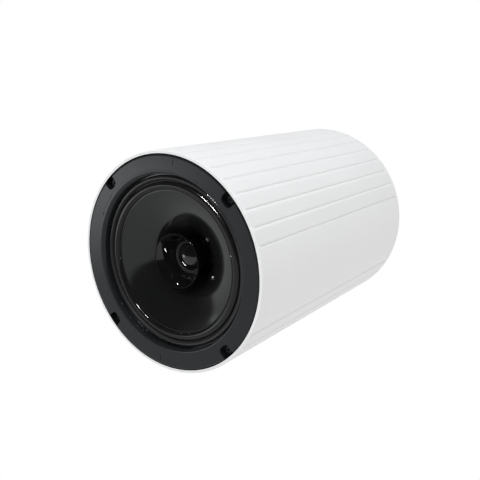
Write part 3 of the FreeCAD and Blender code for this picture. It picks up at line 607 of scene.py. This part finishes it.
def roll_line(depth):
    """The surround's line from its outer edge to its lip, with the half roll towards the front."""
    middle = (ROLL_OUTER + ROLL_INNER) / 2
    half = (ROLL_OUTER - ROLL_INNER) / 2
    line = [(SURROUND_OUTER, depth)]
    for step in range(ROLL_STEPS + 1):
        across = math.cos(math.pi * step / ROLL_STEPS)
        rise = ROLL_HEIGHT * math.sin(math.pi * step / ROLL_STEPS)
        line.append((middle + half * across, depth - rise))
    line.append((LIP_INNER, depth))
    return line


def make_surround():
    section = roll_line(LANDING - SURROUND_WALL) + roll_line(LANDING)[::-1]
    piece = turned("surround_roll", section, FINISHES["surround_rubber"])
    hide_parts("surround")
    bends_between(piece, "enclosure", "cone_assembly", ROLL_OUTER, ROLL_INNER)
    return piece


surround = make_surround()
print("surround points:", len(surround.data.vertices))

# %% [markdown]
# The spider keeps the coil centred. Its cloth is pressed into rings like a ripple, which is what lets
# it bend, so its line is a wave between the basket's ledge and the coil.

# %% Spider and tweeter ring
def wave_ring(name, node, finish_name, outer, inner, front, wall, waves, swing, steps_per_wave=8):
    """A thin ring whose line waves between a flat outer band and its inner edge."""
    count = int(waves * steps_per_wave)
    line = []
    for step in range(count + 1):
        part = step / count
        taper = min(1.0, 4 * part, 4 * (1 - part))
        rise = swing * taper * math.sin(2 * math.pi * waves * part)
        line.append((outer + (inner - outer) * part, front + rise))
    section = line + [(radius, depth + wall) for radius, depth in reversed(line)]
    piece = turned(name, section, FINISHES[finish_name], steps=160)
    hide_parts(node)
    return piece


SPIDER_LAND = 47.0
SPIDER_GLUE = 16.0
SPIDER_NECK = 13.5
SPIDER_WALL = 0.6
DOME_EDGE = 12.8
DOME_RING_WALL = 0.4

spider_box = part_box("spider")
spider = wave_ring(
    "spider_cloth", "spider", "spider_cloth", SPIDER_LAND, SPIDER_NECK,
    (spider_box[0].z - FRONT) / MM, SPIDER_WALL, waves=5, swing=0.9,
)
bends_between(spider, "enclosure", "cone_assembly", SPIDER_LAND, SPIDER_GLUE)

ring_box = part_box("tweeter_suspension")
tweeter_ring = wave_ring(
    "tweeter_ring", "tweeter_suspension", "dome_cloth", ring_box[1].x / MM, DOME_EDGE,
    (ring_box[0].z - FRONT) / MM, DOME_RING_WALL, waves=1, swing=-0.35,
)
bends_between(tweeter_ring, "enclosure", "dome_assembly", ring_box[1].x / MM, DOME_EDGE)
print("soft rings:", spider.name, tweeter_ring.name)

# %% [markdown]
# The studio is a plain pale floor far below the hanging speaker, an even white surrounding, a broad
# panel over the side that the photograph shows as its top, and a small lamp before the front on that
# same side. The panel and the small lamp aren't seen in mirrors. Rays from the camera and mirror rays
# see the surrounding as pure white; for the soft light that it gives, its strength is set apart.
#
# A glossy black driver shows little but its surroundings. Two cards for mirror rays alone give it
# those. One lies on the floor, and how it glows depends on the direction from the driver: pale below a
# horizon, as a lit table is, dark above it, as an unlit room is, and brightest towards one window. The
# other card stands dark behind the lamps.
#
# The short bright streaks come from two strip lamps at the small lamp's place. Each is flagged onto
# the few pieces that it is for: one onto the surround, the bead and the lead eyelets, the other, a
# little along the strip, onto the tweeter's cup.

# %% Studio
FLOOR_DROP = 1600.0
CARD_DROP = 1590.0
STUDIO_HALF = 20.0
TABLE_GLOW = 0.60
HORIZON = (-0.085, -0.02)
WINDOW_WAY = (-0.05, -0.76, -0.65)
WINDOW_EDGE = (0.968, 0.998)
WINDOW_GLOW = 2.5
LAMP_WAY = (0.66, 0.03, -0.76)
LAMP_ALONG = (-0.59, 0.81, 0.0)
LAMP_REACH = 1.2
LAMP_SIDES = (0.16, 0.12)
LAMP_POWER = 3.0
STRIP_SIDES = (0.40, 0.05)
STRIP_POWER = 44.0
STRIP_PIECES = ("surround_gasket", "lead_eyelets")
CUP_STRIP_SHIFT = 0.25
CUP_STRIP_SIDES = (0.50, 0.05)
CUP_STRIP_POWER = 125.0
PANEL_REACH = 3.0
PANEL_SIDES = (2.0, 2.0)
PANEL_POWER = 30.0
PANEL_COLOUR = (0.92, 0.965, 1.0)
WALL_X = 2.5
SOFT_LIGHT = 0.86


def make_sheet(name, corners, finish):
    """A flat sheet with four corners given from the front's centre."""
    mesh = bpy.data.meshes.new(name)
    mesh.from_pydata(corners, [], [(0, 1, 2, 3)])
    sheet = bpy.data.objects.new(name, mesh)
    bpy.context.scene.collection.objects.link(sheet)
    sheet.location = (0, 0, FRONT)
    dress(sheet, finish)
    return sheet


def level_corners(drop):
    half = STUDIO_HALF
    level = -drop * MM
    return [(-half, -half, level), (half, -half, level), (half, half, level), (-half, half, level)]


def floor_paper():
    finish = new_finish("floor_paper")
    fibre = finish.noise(60.0, detail=3.0)
    colour = finish.mixed(fibre, grey(0.84), grey(0.87))
    return finish.surface(Base_Color=colour, Roughness=0.9, Specular_IOR_Level=0.2)


def card_glow():
    finish = new_finish("card_glow")
    place = finish.add("ShaderNodeTexCoord")["Object"]
    way = finish.add("ShaderNodeVectorMath", {"operation": "NORMALIZE"}, {0: place})["Vector"]
    rise = finish.add("ShaderNodeSeparateXYZ", {}, {"Vector": way})["X"]
    facing = finish.add(
        "ShaderNodeVectorMath", {"operation": "DOT_PRODUCT"}, {0: way, 1: WINDOW_WAY}
    )["Value"]
    window = finish.fade(facing, *WINDOW_EDGE, 0.0, WINDOW_GLOW)
    room = finish.fade(rise, *HORIZON, 1.0, 0.03)
    full = TABLE_GLOW + WINDOW_GLOW
    share = (window + TABLE_GLOW) * room * (1 / full)
    glow = finish.mixed(share, grey(0.0), grey(full, -0.02))
    return finish.surface(Base_Color=grey(0.0), Emission_Color=glow, Emission_Strength=1.0)


def dark_felt():
    finish = new_finish("dark_felt")
    fibre = finish.noise(200.0, detail=3.0)
    colour = finish.mixed(fibre, grey(0.03), grey(0.05))
    return finish.surface(Base_Color=colour, Roughness=1.0, Specular_IOR_Level=0.0)


def for_mirrors(card):
    card.visible_camera = False
    card.visible_diffuse = False
    card.visible_transmission = False
    card.visible_shadow = False


def make_floor():
    half = STUDIO_HALF
    make_sheet("floor", level_corners(FLOOR_DROP), floor_paper())
    for_mirrors(make_sheet("floor_card", level_corners(CARD_DROP), card_glow()))
    upright = [(-half, -half), (half, -half), (half, half), (-half, half)]
    wall = [(WALL_X, across, rise) for across, rise in upright]
    for_mirrors(make_sheet("dark_card", wall, dark_felt()))


def make_surrounding():
    world = bpy.data.worlds.new("studio")
    bpy.context.scene.world = world
    finish = Finish(world)
    path = finish.add("ShaderNodeLightPath")
    seen = path["Is Camera Ray"] + path["Is Glossy Ray"] + path["Is Transmission Ray"]
    strength = SOFT_LIGHT + (seen > 0.5) * (1 - SOFT_LIGHT)
    glow = finish.add("ShaderNodeBackground", {}, {"Color": grey(1.0), "Strength": strength})
    finish.add("ShaderNodeOutputWorld", {}, {"Surface": glow["Background"]})


def make_lamp(name, place, aim, along, sides, power):
    """A flat lamp that faces its aim, with its first side along a direction."""
    light = bpy.data.lights.new(name, "AREA")
    light.shape = "RECTANGLE"
    light.size, light.size_y = sides
    light.energy = power
    lamp = bpy.data.objects.new(name, light)
    bpy.context.scene.collection.objects.link(lamp)
    back = (place - aim).normalized()
    across = back.cross(Vector(along)).normalized()
    turn = Matrix((across.cross(back), across, back)).transposed().to_4x4()
    lamp.matrix_world = Matrix.Translation(place) @ turn
    return lamp


def light_only(lamp, pieces):
    """Flag a lamp off everything but a few pieces."""
    lit = bpy.data.collections.new(lamp.name + "_lit")
    for piece in pieces:
        lit.objects.link(piece)
    lamp.light_linking.receiver_collection = lit


make_floor()
make_surrounding()
front_centre = Vector((0, 0, FRONT))
middle = Vector((0, 0, (FRONT + REAR) / 2))
lamp_place = front_centre + Vector(LAMP_WAY) * LAMP_REACH
lamp = make_lamp("front_lamp", lamp_place, front_centre, LAMP_ALONG, LAMP_SIDES, LAMP_POWER)
lamp.visible_glossy = False
strip = make_lamp("glint_lamp", lamp_place, front_centre, LAMP_ALONG, STRIP_SIDES, STRIP_POWER)
strip.visible_diffuse = False
light_only(strip, [surround] + [nodes[name] for name in STRIP_PIECES])
cup_place = lamp_place + Vector(LAMP_ALONG) * CUP_STRIP_SHIFT
cup_strip = make_lamp(
    "cup_lamp", cup_place, front_centre, LAMP_ALONG, CUP_STRIP_SIDES, CUP_STRIP_POWER
)
cup_strip.visible_diffuse = False
light_only(cup_strip, [nodes["tweeter_housing"]])
panel_place = middle + Vector((PANEL_REACH, 0.0, 0.0))
panel = make_lamp("top_panel", panel_place, middle, (0, 1, 0), PANEL_SIDES, PANEL_POWER)
panel.visible_glossy = False
panel.data.color = PANEL_COLOUR
bpy.context.scene.view_settings.view_transform = "Standard"
print("stage: floor", round(height(-FLOOR_DROP), 2), "m, soft light", SOFT_LIGHT)
